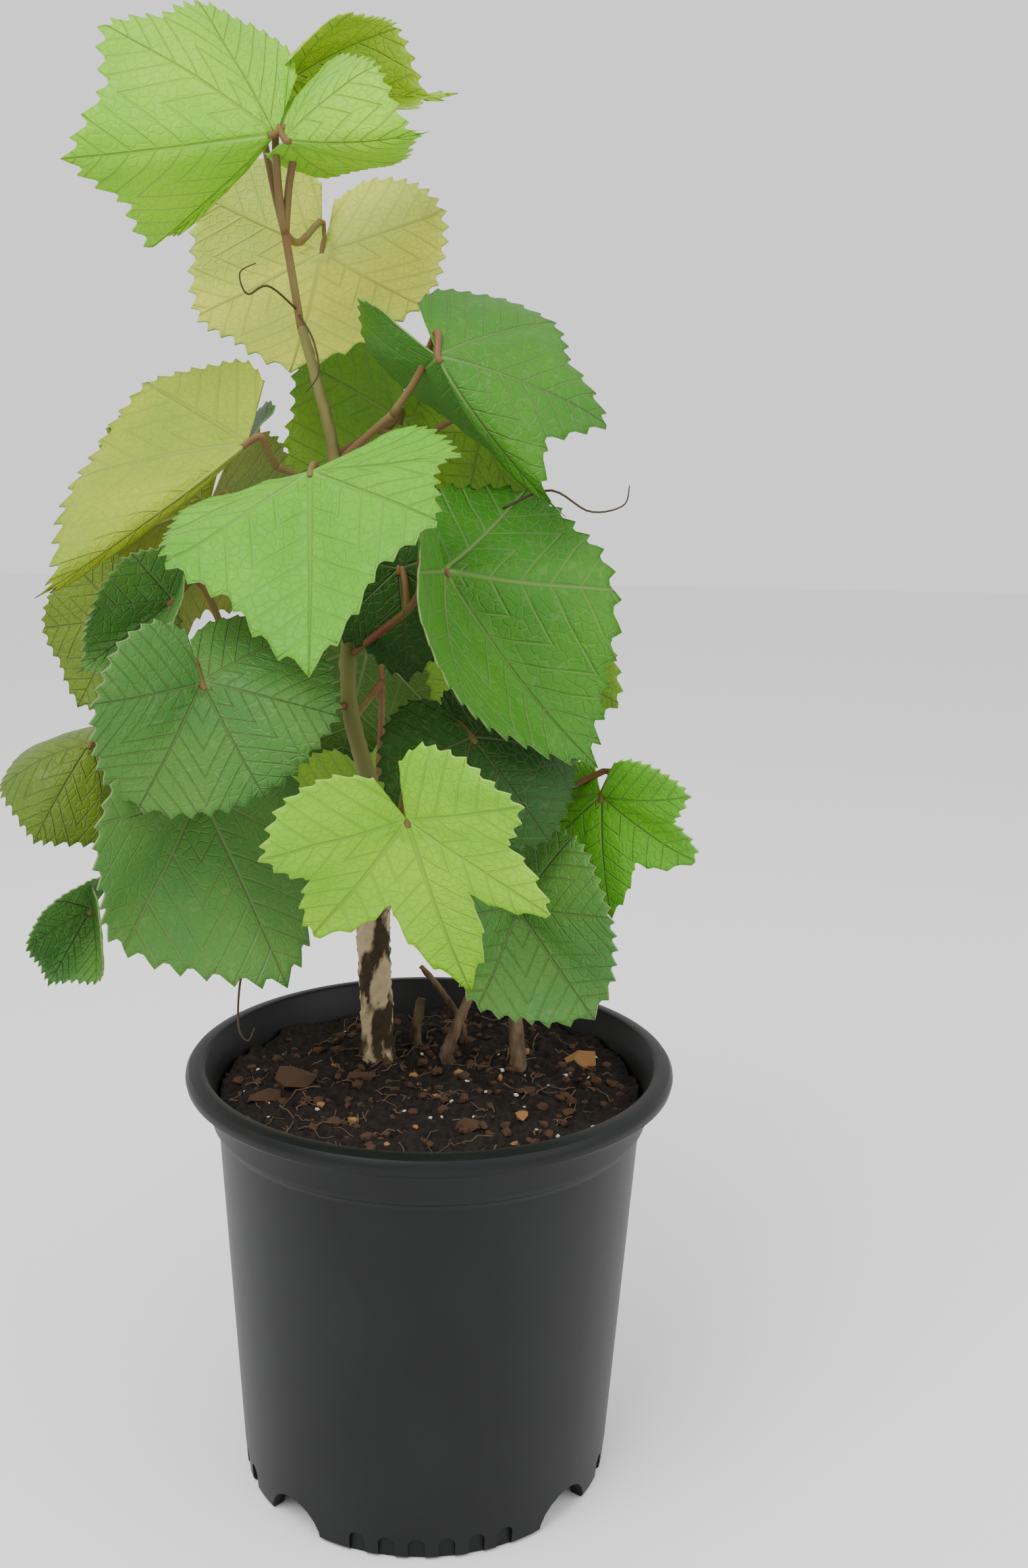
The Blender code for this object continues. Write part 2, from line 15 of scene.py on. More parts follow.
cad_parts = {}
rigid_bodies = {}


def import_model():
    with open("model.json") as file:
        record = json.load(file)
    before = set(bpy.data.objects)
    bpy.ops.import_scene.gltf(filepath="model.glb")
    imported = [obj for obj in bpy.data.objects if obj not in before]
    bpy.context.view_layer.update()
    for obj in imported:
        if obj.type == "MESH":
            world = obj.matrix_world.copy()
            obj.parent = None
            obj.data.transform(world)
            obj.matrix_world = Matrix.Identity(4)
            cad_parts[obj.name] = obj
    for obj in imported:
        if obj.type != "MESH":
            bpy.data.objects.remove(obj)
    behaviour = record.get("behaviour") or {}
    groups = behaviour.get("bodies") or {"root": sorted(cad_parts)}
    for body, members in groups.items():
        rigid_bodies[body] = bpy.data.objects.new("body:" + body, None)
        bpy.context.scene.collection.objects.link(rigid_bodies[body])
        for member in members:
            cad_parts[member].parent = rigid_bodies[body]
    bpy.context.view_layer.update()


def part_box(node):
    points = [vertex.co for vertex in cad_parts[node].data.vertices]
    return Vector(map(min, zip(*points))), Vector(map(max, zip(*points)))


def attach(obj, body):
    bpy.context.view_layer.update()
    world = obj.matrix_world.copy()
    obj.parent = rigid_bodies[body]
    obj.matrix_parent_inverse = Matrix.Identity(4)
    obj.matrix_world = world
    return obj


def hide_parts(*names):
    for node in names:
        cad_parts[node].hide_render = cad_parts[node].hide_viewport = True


bl_info = {
    "name": "Potted Grape Vine",
    "version": (1, 0, 0),
    "blender": (4, 5, 0),
    "location": "View3D > Sidebar > Grape Vine",
    "description": "Builds a potted grape vine round its packed frame",
    "category": "Object",
}

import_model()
POT_LOW, POT_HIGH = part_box("pot")
MIDDLE = Vector(((POT_LOW[0] + POT_HIGH[0]) / 2.0, (POT_LOW[1] + POT_HIGH[1]) / 2.0, 0.0))
POT_HEIGHT = (POT_HIGH[2] - POT_LOW[2]) * 1000.0
RIM_RADIUS = (POT_HIGH[0] - POT_LOW[0]) * 500.0
SOIL_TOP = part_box("soil")[1][2] * 1000.0
MM = 0.001
MERGE = 0.00002
PLANT_SEED = 7

# Pot, as fractions of the frame's rim and height where they follow it
LIP_INNER = RIM_RADIUS - 6.5
STEP_HEIGHT = POT_HEIGHT - 20.0
STEP_RADIUS = RIM_RADIUS - 9.6
WALL_TOP_RADIUS = RIM_RADIUS - 11.0
BASE_RADIUS = RIM_RADIUS - 19.3
WALL = 1.7
FLOOR_TOP = 15.0
FLOOR_UNDERSIDE = 12.5
FOOT_RING = 5.0
ARCH_CENTRES = (-43.0, 47.0, 137.0, 227.0)
ARCH_WIDTH = 24.0
ARCH_HEIGHT = 11.0
FLUTE_PITCH = 8.8
FLUTES_IN_GROUP = 6
FLUTE_WIDTH = 5.6
FLUTE_HEIGHT = 8.0
FLUTE_DEPTH = 1.3
FRONT = -90.0

# Limbs: points along the middle, radii at foot and tip
Limb = namedtuple("Limb", "points foot tip")
TRUNK = Limb(((-19.5, 23, SOIL_TOP - 1.5), (-20, 23, 158), (-21, 22.5, 178), (-21.5, 22, 196)),
             7.2, 6.1)
CANES = (
    Limb(((-20, 22, 194), (-19.8, 22, 200), (-17, 20, 211), (-19, 18, 230), (-26, 16, 254),
          (-29.5, 15, 270), (-30, 15, 284), (-30, 14, 302), (-31.5, 12, 326), (-34, 9.5, 350),
          (-36, 8, 362), (-40, 7.5, 377), (-44.5, 6.9, 393)), 3.6, 1.6),
)
STUBS = (
    Limb(((-6, 36, SOIL_TOP - 1), (-6, 36, 144), (-4, 39, 156)), 2.4, 1.6),
    Limb(((6, 20, SOIL_TOP - 1), (6, 20, 144), (14, 27, 162)), 3.0, 1.6),
    Limb(((31, 14, SOIL_TOP - 1), (31, 14, 144), (29, 22, 166)), 3.6, 2.2),
    Limb(((12, 40, SOIL_TOP - 1), (11, 39, 146), (4, 34, 160), (-4, 28, 172)), 1.5, 1.0),
)
TENDRILS = (
    ((-46, 4, 398), (-54, -2, 404), (-60, -6, 401), (-62, -8, 407), (-57, -8, 410)),
    ((-45, 5, 396), (-40, -4, 388), (-38, -8, 378), (-42, -8, 372)),
    ((20, -20, 338), (34, -26, 344), (46, -30, 338), (56, -32, 340), (58, -30, 346)),
    ((-60, -30, 196), (-62, -32, 184), (-62, -34, 172), (-59, -35, 168), (-57, -34, 172)),
)
TENDRIL_RADIUS = 0.45

# Leaf blade: rim reach by angle from the midrib, for a midrib of 1
RIM_SHAPE = ((0, 1.00), (26, 0.96), (50, 0.92), (78, 0.86), (104, 0.80), (135, 0.70),
             (158, 0.58), (174, 0.40))
NOTCHES = {26: 0.48, 78: 0.26}
LAST_ANGLE = 174.0
SHOULDER = 50.0
TOOTH_OUT = 1.02
TOOTH_IN = 0.95
TEETH_PER_SIDE = 22
COLUMNS_PER_TOOTH = 4
BLADE_ROWS = 15
BLADE_THICKNESS = 0.55
MID_FOLD_ENDS = 14.0
SIDE_FOLD = (38.0, 66.0)
TURN_STEP = 2.0
VEIN_ANGLES = (0.0, 50.0, 104.0)
UV_REACH = 1.3
STALK_RADIUS = 1.3
STALK_TIP_RADIUS = 0.95

Leaf = namedtuple(
    "Leaf",
    "tint at faces lean length wide lobing fold left right droop ends",
    defaults=(1.0, 0.2, 0.0, 0.0, 0.0, 12.0, (174.0, 174.0)),
)
Mass = namedtuple("Mass", "root hub leaves")

# Masses by CAD node name, with the same stalks and blades as the solids
MASSES = {
    "top_leaves": Mass((-44.6, 6.9, 392), (-49, 2, 420), (
        Leaf("lime", (-50, -15, 446), (-70, -19), -77, 62, 1.05, 0.35, -80, -14, 7, 14,
             (125, 56)),
        Leaf("lime", (-47, -17, 444), (-130, -39), 78, 45, 0.85, 0.1, -90, 21, -27, 30,
             (150, 150)),
        Leaf("young", (-50, 27, 470), (-49, 17), 86, 58, 0.75, 0.2, 100, -22, 28, -40,
             (170, 170)),
        Leaf("fresh", (-42, 63, 423), (77, -43), -4, 66, 0.85, 0.2, 9, -11, -41, 12),
    )),
    "right_upper_leaves": Mass((-31.5, 9, 352), (-15, -6, 366), (
        Leaf("mid", (-1, -24, 383), (-130, -9), 33, 61, 1.03, 0.6, -108, 38, -20, 28,
             (174, 165)),
    )),
    "left_upper_leaf": Mass((-37, 9, 343), (-52, -2, 349), (
        Leaf("grey", (-60, -10, 356), (126, 3), 53, 80, 0.8, 0.1, 150, -6, -17, -18,
             (150, 150)),
    )),
    "centre_leaves": Mass((-33, 8, 334), (-36, -20, 343), (
        Leaf("fresh", (-38, -40, 348), (-108, 39), 15, 73, 0.8, 0.35, 39, -46, -28, -4,
             (120, 120)),
    )),
    "right_leaves": Mass((-28, 13, 288), (-10, -6, 304), (
        Leaf("mid", (2, -30, 319), (-61, 18), 27, 76, 0.78, 0.15, 48, 23, -55, -27),
        Leaf("dark_shaded", (-13, 8, 317), (-95, 4), 5, 38, 0.9, 0.3, 20, 10, 10, 12),
    )),
    "left_leaves": Mass((-30.5, 13.5, 270), (-56, -16, 268), (
        Leaf("grey", (-67, -66, 288.5), (-98, 17), 31, 37, 1.2, 0.05, 18, 60, -36, 19),
        Leaf("grey", (-83, -15, 307), (-104, -9), -54, 40, 0.7, 0.1, 100, -28, 20, -20),
        Leaf("grey", (-72, -42, 251), (-54, 25), 15, 65, 0.88, 0.1, -36, 60, -4, 10),
        Leaf("olive", (-117, 15, 255), (-72, 38), -35, 39, 1.0, 0.1, -24, -28, -49, 45),
        Leaf("grey", (-114, -5, 203), (-84, -5), -30, 30, 0.92, 0.2, 80, 7, 36, -20),
        Leaf("olive", (-106, 24, 297), (-110, 10), -30, 36, 0.95, 0.2, 20, 10, 10, 10),
    )),
    "front_leaf": Mass((-17, 17, 214), (-11, -40, 216), (
        Leaf("lime", (-8, -70, 250), (-107, -13), 13, 63, 0.88, 1.0, 32, 31, 13, 13,
             (165, 160)),
    )),
    "lower_right_leaves": Mass((-17, 19, 236), (10, -4, 246), (
        Leaf("dark_shaded", (11, -40, 269), (-87, 23), 38, 41, 0.95, 0.05, -20, 20, -24, 22),
        Leaf("fresh", (54, -20, 247), (-115, 8), 3, 45, 0.92, 0.8, 0, -36, 45, 40,
             (145, 145)),
        Leaf("grey", (27, -30, 212), (-112, 21), 42, 43, 0.9, 0.1, 70, 50, -17, 18),
    )),
    "back_upper_leaves": Mass((-35, 11, 352), (-22, 44, 362), (
        Leaf("mid", (-14, 60, 366), (80, 25), 10, 58, 0.95, 0.4, 20, 15, 15, 20),
        Leaf("mid", (14, 40, 362), (30, 30), -10, 46, 0.95, 0.3, -20, 20, 10, 15),
    )),
    "back_left_leaves": Mass((-31, 15, 300), (-60, 44, 306), (
        Leaf("olive", (-84, 72, 334), (135, 25), 15, 62, 0.95, 0.4, 25, 10, 20, 20),
        Leaf("grey", (-98, 80, 250), (150, 20), -10, 48, 0.95, 0.3, -20, 20, 10, 20),
    )),
    "back_middle_leaves": Mass((-29, 16, 264), (-20, 56, 272), (
        Leaf("dark_shaded", (-26, 90, 282), (95, 22), 12, 66, 0.95, 0.5, 20, 15, 20, 18),
        Leaf("mid", (-26, 90, 218), (105, 20), -15, 48, 0.95, 0.3, 20, 10, 20, 20),
    )),
    "back_right_leaves": Mass((-18, 19, 226), (14, 42, 240), (
        Leaf("mid", (26, 66, 284), (70, 25), -12, 54, 0.95, 0.4, 20, 20, 10, 18),
        Leaf("dark_shaded", (30, 80, 214), (80, 20), 10, 48, 0.95, 0.3, -20, 20, 20, 20),
    )),
}

# Leaf tints: upper side and underside, linear
TINTS = {
    "lime": ((0.2, 0.5, 0.008), (0.3, 0.5, 0.02)),
    "young": ((0.26, 0.46, 0.015), (0.32, 0.46, 0.04)),
    "fresh": ((0.09, 0.34, 0.012), (0.42, 0.5, 0.06)),
    "mid": ((0.04, 0.17, 0.01), (0.14, 0.3, 0.025)),
    "grey": ((0.055, 0.17, 0.03), (0.24, 0.34, 0.015)),
    "olive": ((0.09, 0.16, 0.012), (0.17, 0.22, 0.02)),
    # Darkest tint: the leaves' own deep green, darkened further by painted shade, for the leaves
    # deep inside the plant
    "dark_shaded": ((0.015, 0.07, 0.008), (0.05, 0.12, 0.015)),
}
VEIN_LIGHTEN = 0.18
SHINE = 0.22
PLASTIC = (0.003, 0.0032, 0.0035)
SOIL_COLOUR = (0.009, 0.0065, 0.005)
BARK_PALE = (0.42, 0.34, 0.2)
BARK_DARK = (0.045, 0.03, 0.017)
CANE_GREEN = (0.17, 0.19, 0.05)
CANE_BROWN = (0.12, 0.07, 0.03)
DRY_WOOD = (0.16, 0.11, 0.065)

# Soil litter
CHIP_COLOURS = {"bark_chip": (0.06, 0.032, 0.018), "tan_chip": (0.26, 0.13, 0.05),
                "perlite": (0.5, 0.48, 0.42), "fibre": (0.11, 0.075, 0.045)}
BIG_CHIPS = (("bark_chip", (-48, -1), 9.0), ("bark_chip", (-56.5, -15), 6.5),
             ("tan_chip", (54, 18), 7.5), ("bark_chip", (-24.6, 5), 5.5),
             ("bark_chip", (12, -38), 5.0), ("tan_chip", (30, -30), 3.5))

# Camera that matches the photo
CAMERA_PLACE = (0.0, -506.0, 353.0)
CAMERA_PITCH = 11.9
CAMERA_YAW = 3.0
CAMERA_ROLL = 1.4
FOCAL_SHARE = 2337.0 / 2380.0
SENSOR = 36.0


def lerp(a, b, t):
    """The value a part t of the way from a to b."""
    return a + (b - a) * t


def step_through(table, x):
    """Reads a table of rising (x, value) pairs between its entries."""
    for (x0, y0), (x1, y1) in zip(table, table[1:]):
        if x <= x1:
            return lerp(y0, y1, (x - x0) / (x1 - x0))
    return table[-1][1]


def placed(point):
    """A point in millimetres from the pot's middle, in the frame's metres."""
    return Vector(point) * MM + MIDDLE


# Objects

def finish_piece(name, mesh, materials, nodes=(), smooth=True):
    """Makes a mesh a piece of the object, in place of the CAD nodes named."""
    piece = bpy.data.objects.new(name, mesh)
    bpy.context.scene.collection.objects.link(piece)
    for material in materials:
        mesh.materials.append(material)
    for polygon in mesh.polygons:
        polygon.use_smooth = smooth
    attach(piece, "root")
    if nodes:
        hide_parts(*nodes)
    return piece


def mesh_of(name, shape):
    """Moves a bmesh into a new mesh."""
    mesh = bpy.data.meshes.new(name)
    shape.to_mesh(mesh)
    shape.free()
    return mesh


def smooth_path(points, count):
    """Points at even steps along a smooth curve through the given points."""
    padded = [points[0]] + list(points) + [points[-1]]
    spans = len(points) - 1
    path = []
    for index in range(count):
        place = index / (count - 1) * spans
        span = min(int(place), spans - 1)
        t = place - span
        a, b, c, d = (Vector(p) for p in padded[span:span + 4])
        path.append(0.5 * (2 * b + (c - a) * t + (2 * a - 5 * b + 4 * c - d) * t * t
                           + (3 * b - a - 3 * c + d) * t * t * t))
    return path


def add_tube(shape, path, radii, sides, relief=0.0, material=0):
    """Adds a closed tube to a bmesh; relief roughens its radius like bark."""
    rings = []
    side = Vector((1.0, 0.0, 0.0))
    for index, place in enumerate(path):
        ahead = path[min(index + 1, len(path) - 1)] - path[max(index - 1, 0)]
        ahead.normalize()
        side = (side - ahead * side.dot(ahead)).normalized()
        other = ahead.cross(side)
        ring = []
        for step in range(sides):
            turn = math.tau * step / sides
            out = side * math.cos(turn) + other * math.sin(turn)
            spot = place + out * radii[index]
            rough = noise.fractal(spot * Vector((0.45, 0.45, 0.16)).length, 0.8, 2.0, 4)
            ring.append(shape.verts.new(placed(spot + out * relief * rough)))
        rings.append(ring)
    faces = []
    for low, high in zip(rings, rings[1:]):
        for step in range(sides):
            after = (step + 1) % sides
            faces.append(shape.faces.new((low[step], low[after], high[after], high[step])))
    faces.append(shape.faces.new(rings[0][::-1]))
    faces.append(shape.faces.new(rings[-1]))
    for face in faces:
        face.material_index = material
    return rings


# Materials

def new_material(name, roughness):
    """A material with its Principled node."""
    made = bpy.data.materials.new(name)
    made.use_nodes = True
    shader = made.node_tree.nodes["Principled BSDF"]
    shader.inputs["Roughness"].default_value = roughness
    shader.inputs["Specular IOR Level"].default_value = SHINE
    return made, made.node_tree, shader


def math_node(tree, operation, first, second=None, clamp=False):
    """A Math node fed by sockets or numbers; gives its output socket."""
    node = tree.nodes.new("ShaderNodeMath")
    node.operation = operation
    node.use_clamp = clamp
    for place, value in enumerate((first, second)):
        if value is None:
            continue
        if isinstance(value, (int, float)):
            node.inputs[place].default_value = value
        else:
            tree.links.new(value, node.inputs[place])
    return node.outputs[0]


def mix_colours(tree, factor, first, second):
    """A colour mix fed by sockets, numbers or colours; gives its output socket."""
    node = tree.nodes.new("ShaderNodeMix")
    node.data_type = "RGBA"
    for socket, value in ((node.inputs[0], factor), (node.inputs[6], first),
                          (node.inputs[7], second)):
        if isinstance(value, (int, float)):
            socket.default_value = value
        elif isinstance(value, tuple):
            socket.default_value = (*value, 1.0)
        else:
            tree.links.new(value, socket)
    return node.outputs[2]


def noise_node(tree, scale, detail, stretch=None):
    """A Noise texture on Object coordinates; gives its factor socket."""
    place = tree.nodes.new("ShaderNodeTexCoord").outputs["Object"]
    if stretch:
        mapping = tree.nodes.new("ShaderNodeMapping")
        mapping.inputs["Scale"].default_value = stretch
        tree.links.new(place, mapping.inputs["Vector"])
        place = mapping.outputs["Vector"]
    node = tree.nodes.new("ShaderNodeTexNoise")
    node.inputs["Scale"].default_value = scale
    node.inputs["Detail"].default_value = detail
    tree.links.new(place, node.inputs["Vector"])
    return node.outputs[0]


def ramp_between(tree, value, low, high):
    """Maps a socket from low..high to 0..1, clamped."""
    node = tree.nodes.new("ShaderNodeMapRange")
    node.inputs["From Min"].default_value = low
    node.inputs["From Max"].default_value = high
    tree.links.new(value, node.inputs["Value"])
    return node.outputs[0]


def add_bump(tree, shader, height, distance, strength=1.0):
    """Feeds a height socket to the Normal through a Bump node."""
    bump = tree.nodes.new("ShaderNodeBump")
    bump.inputs["Distance"].default_value = distance
    bump.inputs["Strength"].default_value = strength
    tree.links.new(height, bump.inputs["Height"])
    tree.links.new(bump.outputs["Normal"], shader.inputs["Normal"])


def mottled_material(name, first, second, scale, stretch, roughness, bump=0.0004, soft=0.08):
    """Two colours mottled by noise, with matching bump."""
    made, tree, shader = new_material(name, roughness)
    patches = noise_node(tree, scale, 6.0, stretch)
    mask = ramp_between(tree, patches, 0.5 - soft, 0.5 + soft)
    tree.links.new(mix_colours(tree, mask, first, second), shader.inputs["Base Color"])
    add_bump(tree, shader, patches, bump)
    return made


def vein_group():
    """Node group: vein strength and blister height from leaf coordinates (angle, reach)."""
    found = bpy.data.node_groups.get("Leaf veins")
    if found:
        return found
    tree = bpy.data.node_groups.new("Leaf veins", "ShaderNodeTree")
    tree.interface.new_socket("Veins", in_out="OUTPUT", socket_type="NodeSocketFloat")
    tree.interface.new_socket("Height", in_out="OUTPUT", socket_type="NodeSocketFloat")
    leaf_map = tree.nodes.new("ShaderNodeUVMap")
    leaf_map.uv_map = "LeafPlane"
    split = tree.nodes.new("ShaderNodeSeparateXYZ")
    tree.links.new(leaf_map.outputs[0], split.inputs[0])
    angle = math_node(tree, "SUBTRACT", split.outputs[0], 0.5)
    angle = math_node(tree, "ABSOLUTE", math_node(tree, "MULTIPLY", angle, math.tau))
    reach = math_node(tree, "MULTIPLY", split.outputs[1], UV_REACH)
    nearest = None
    for vein in VEIN_ANGLES:
        off = math_node(tree, "ABSOLUTE", math_node(tree, "SUBTRACT", angle,
                                                    math.radians(vein)))
        nearest = off if nearest is None else math_node(tree, "MINIMUM", nearest, off)
    aside = math_node(tree, "MULTIPLY", reach, math_node(tree, "SINE", nearest))
    along = math_node(tree, "MULTIPLY", reach, math_node(tree, "COSINE", nearest))
    width = math_node(tree, "SUBTRACT", 0.017, math_node(tree, "MULTIPLY", reach, 0.011))
    main = math_node(tree, "SUBTRACT", 1.0, math_node(tree, "DIVIDE", aside, width), True)
    phase = math_node(tree, "SUBTRACT", along, math_node(tree, "MULTIPLY", aside, 0.75))
    phase = math_node(tree, "FRACT", math_node(tree, "DIVIDE", phase, 0.125))
    phase = math_node(tree, "ABSOLUTE", math_node(tree, "SUBTRACT", phase, 0.5))
    branch = math_node(tree, "SUBTRACT", 1.0, math_node(tree, "MULTIPLY", phase, 11.0), True)
    place = tree.nodes.new("ShaderNodeTexCoord").outputs["Object"]
    cells = tree.nodes.new("ShaderNodeTexVoronoi")
    cells.feature = "DISTANCE_TO_EDGE"
    cells.inputs["Scale"].default_value = 330.0
    tree.links.new(place, cells.inputs["Vector"])
    net = math_node(tree, "SUBTRACT", 1.0, math_node(tree, "MULTIPLY", cells.outputs[0], 9.0),
                    True)
    veins = math_node(tree, "MAXIMUM", main, math_node(tree, "MULTIPLY", branch, 0.55))
    veins = math_node(tree, "MAXIMUM", veins, math_node(tree, "MULTIPLY", net, 0.22))
    output = tree.nodes.new("NodeGroupOutput")
    tree.links.new(veins, output.inputs["Veins"])
    tree.links.new(math_node(tree, "SUBTRACT", 1.0, veins), output.inputs["Height"])
    return tree


def leaf_material(tint, under):
    """Leaf tissue with paler veins; sunk veins above and raised veins below."""
    name = f"leaf_{tint}_{'under' if under else 'upper'}"
    found = bpy.data.materials.get(name)
    if found:
        return found
    made, tree, shader = new_material(name, 0.62 if under else 0.5)
    colour = TINTS[tint][1 if under else 0]
    pale = tuple(lerp(c, 0.62 if i < 2 else 0.3, VEIN_LIGHTEN) for i, c in enumerate(colour))
    group = tree.nodes.new("ShaderNodeGroup")
    group.node_tree = vein_group()
    patches = ramp_between(tree, noise_node(tree, 28.0, 3.0), 0.3, 0.7)
    warm = tuple(c * f for c, f in zip(colour, (1.3, 1.12, 0.8)))
    cool = tuple(c * f for c, f in zip(colour, (0.78, 0.88, 1.0)))
    tissue = mix_colours(tree, patches, cool, warm)
    tree.links.new(mix_colours(tree, group.outputs["Veins"], tissue, pale),
                   shader.inputs["Base Color"])
    height = group.outputs["Veins" if under else "Height"]
    add_bump(tree, shader, height, 0.0009, 1.0)
    return made


def plain_material(name, colour, roughness):
    """A material of one colour."""
    made, _, shader = new_material(name, roughness)
    shader.inputs["Base Color"].default_value = (*colour, 1.0)
    return made


# Leaves

def true_angle(angle, end):
    """Spreads a rim angle so that the rim ends at end instead of LAST_ANGLE."""
    if angle <= SHOULDER:
        return angle
    return SHOULDER + (angle - SHOULDER) * (end - SHOULDER) / (LAST_ANGLE - SHOULDER)


def rim_reach(angle, leaf):
    """Distance from stalk to rim at a rim angle, without teeth."""
    shape = [(a, r - NOTCHES.get(a, 0.0) * leaf.lobing) for a, r in RIM_SHAPE]
    widened = 1.0 + (leaf.wide - 1.0) * min(1.0, angle / SHOULDER)
    return step_through(shape, angle) * leaf.length * widened


def blade_axes(leaf):
    """Midrib direction, right-hand direction and upper normal of a leaf."""
    azimuth, elevation = (math.radians(a) for a in leaf.faces)
    normal = Vector((math.cos(elevation) * math.cos(azimuth),
                     math.cos(elevation) * math.sin(azimuth), math.sin(elevation)))
    plumb = Vector((0.0, 0.0, -1.0))
    down = (plumb - normal * plumb.dot(normal)).normalized()
    across = normal.cross(down)
    lean = math.radians(leaf.lean)
    midrib = down * math.cos(lean) + across * math.sin(lean)
    return midrib, normal.cross(midrib), normal


def fold_rate(angle, leaf, side):
    """Degrees that the blade folds up for each degree of turn from the midrib."""
    rate = 0.0
    if angle < MID_FOLD_ENDS:
        rate += leaf.fold / 2.0 / MID_FOLD_ENDS
    start, end = SIDE_FOLD
    if start < angle < end:
        rate += (leaf.right if side > 0 else leaf.left) / (end - start)
    return rate


def rays(leaf, side, angles):
    """Direction and upper normal of the blade along rays at rising angles on one side."""
    ray, across, normal = blade_axes(leaf)
    across = across * side
    found = []
    reached = 0.0
    for angle in angles:
        while reached < angle - 1e-6:
            step = min(TURN_STEP, angle - reached)
            turn = math.radians(step)
            bend = math.radians(fold_rate(reached + step / 2.0, leaf, side) * step)
            ray, across = (ray * math.cos(turn) + across * math.sin(turn),
                           across * math.cos(turn) - ray * math.sin(turn))
            across, normal = (across * math.cos(bend) + normal * math.sin(bend),
                              normal * math.cos(bend) - across * math.sin(bend))
            reached += step
        found.append((ray.copy(), normal.copy()))
    return found


def along_ray(leaf, ray, normal, distance):
    """The point at a distance along a ray of the blade, which droops as an arc."""
    droop = math.radians(leaf.droop)
    if abs(droop) < 1e-4:
        return Vector(leaf.at) + ray * distance
    radius = leaf.length / droop
    turned = distance / radius
    return (Vector(leaf.at) + ray * (radius * math.sin(turned))
            - normal * (radius * (1.0 - math.cos(turned))))


def tooth_factor(place):
    """Share of the rim's reach: out at a tooth's tip, in at the notch after it."""
    part = place % 1.0
    rise = 1.0 - part / 0.65 if part < 0.65 else (part - 0.65) / 0.35
    return lerp(TOOTH_IN, TOOTH_OUT, rise)


def blade_height(angle, share, leaf, wave):
    """Relief of the blade: blisters between veins and a wavy rim, in millimetres."""
    off = min(abs(abs(angle) - vein) for vein in VEIN_ANGLES)
    reach = share * rim_reach(abs(angle), leaf) / leaf.length
    blister = math.sin(min(1.0, off / 22.0) * math.pi / 2.0) * reach * (1.0 - share * 0.6)
    rim = share ** 3 * math.sin(math.radians(angle) * 5.0 + wave)
    ripple = noise.noise(Vector((angle * 0.05, share * 3.0, wave)))
    return leaf.length * (0.03 * blister + 0.018 * rim + 0.02 * ripple * share)


def blade_columns(leaf):
    """Rays across the whole blade with their rim angle and reach."""
    count = TEETH_PER_SIDE * COLUMNS_PER_TOOTH
    columns = []
    for side, end in ((-1, leaf.ends[0]), (1, leaf.ends[1])):
        angles = [LAST_ANGLE * step / count for step in range(count + 1)]
        half = []
        for step, (ray, normal) in enumerate(rays(leaf, side,
                                                  [true_angle(a, end) for a in angles])):
            tooth = tooth_factor(step / COLUMNS_PER_TOOTH)
            half.append((side * angles[step], ray, normal,
                         rim_reach(angles[step], leaf) * tooth))
        columns += half[::-1] if side < 0 else half[1:]
    return columns


def add_blade(shape, leaf, first_slot, wave):
    """Adds a leaf blade with an upper and an under side to a bmesh."""
    columns = blade_columns(leaf)
    leaf_maps = shape.loops.layers.uv
    leaf_map = leaf_maps.get("LeafPlane") or leaf_maps.new("LeafPlane")
    half = BLADE_THICKNESS / 2.0
    sheets = []
    for lift, slot in ((half, first_slot), (-half, first_slot + 1)):
        mean = sum((column[2] for column in columns), Vector()).normalized()
        apex = shape.verts.new(placed(Vector(leaf.at) + mean * lift))
        rows = [[apex] * len(columns)]
        for row in range(1, BLADE_ROWS + 1):
            share = (row / BLADE_ROWS) ** 0.9
            ring = []
            for angle, ray, normal, reach in columns:
                spot = along_ray(leaf, ray, normal, reach * share)
                rise = blade_height(angle, share, leaf, wave)
                ring.append(shape.verts.new(placed(spot + normal * (rise + lift))))
            rows.append(ring)
        sheets.append(rows)
        add_sheet(shape, rows, columns, leaf, leaf_map, slot, lift < 0.0)
    add_rim(shape, sheets, first_slot)


def add_sheet(shape, rows, columns, leaf, leaf_map, slot, turned_over):
    """Faces of one side of a blade, with leaf coordinates as their UV map."""
    for row in range(BLADE_ROWS):
        for step in range(len(columns) - 1):
            spots = [(row + 1, step), (row + 1, step + 1), (row, step + 1), (row, step)]
            if row == 0:
                spots = spots[:3]
            if turned_over:
                spots.reverse()
            face = shape.faces.new([rows[r][c] for r, c in spots])
            face.material_index = slot
            for loop, (r, c) in zip(face.loops, spots):
                share = (r / BLADE_ROWS) ** 0.9
                angle = columns[c][0] if r else columns[step][0]
                loop[leaf_map].uv = (angle / 360.0 + 0.5,
                                     share * columns[c][3] / leaf.length / UV_REACH)


def add_rim(shape, sheets, slot):
    """Closes the edge between a blade's two sides."""
    upper, under = sheets
    for step in range(len(upper[-1]) - 1):
        face = shape.faces.new((upper[-1][step + 1], upper[-1][step], under[-1][step],
                                under[-1][step + 1]))
        face.material_index = slot
    for end in (0, -1):
        for row in range(BLADE_ROWS):
            spots = (upper[row][end], upper[row + 1][end], under[row + 1][end],
                     under[row][end])
            face = shape.faces.new(spots if end else spots[::-1])
            face.material_index = slot


def stalk_path(start, leaf, chance):
    """The way from a hub to a leaf: a bow that comes in under the blade at its foot."""
    midrib, _, normal = blade_axes(leaf)
    start, end = Vector(start), Vector(leaf.at)
    span = (end - start).length
    sway = Vector([chance.uniform(-0.06, 0.06) for _ in range(3)]) * span
    before = end - midrib * min(8.0, span * 0.3) - normal * min(6.0, span * 0.2)
    middle = start.lerp(before, 0.55) + sway - Vector((0.0, 0.0, 0.08 * span))
    sunk = end + midrib * 2.0
    return smooth_path((start, middle, before, end, sunk), 16)


# Pot

